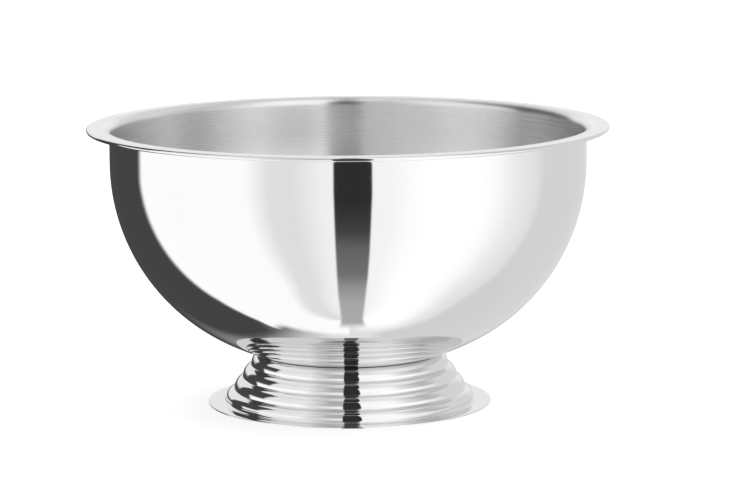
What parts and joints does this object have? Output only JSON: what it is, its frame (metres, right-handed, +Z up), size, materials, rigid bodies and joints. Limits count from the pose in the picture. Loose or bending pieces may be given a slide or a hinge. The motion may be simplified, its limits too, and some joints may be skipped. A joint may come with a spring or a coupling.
{
  "type": "punch bowl",
  "caption": "Round footed punch bowl of polished sheet steel, with a flared rolled rim and a ribbed flanged foot bolted up from below.",
  "frame": {"origin": "centre of the ring that the foot stands on, at table level", "axes": "+Z up along the axis of the bowl; X and Y are interchangeable because every large piece is turned"},
  "size_m": [0.4, 0.4, 0.215],
  "materials": {
    "bowl_steel": "stainless sheet, mirror-polished outside and on the lip, circular satin brushing inside",
    "foot_steel": "stainless sheet, mirror-polished outside, as-pressed inside",
    "fastener_steel": "plain stainless fasteners"
  },
  "bodies": {
    "root": {"bowl": "bowl_steel", "foot": "foot_steel", "weld_stud": "fastener_steel", "clamp_washer": "fastener_steel", "spring_washer": "fastener_steel", "clamp_nut": "fastener_steel"}
  },
  "joints": []
}
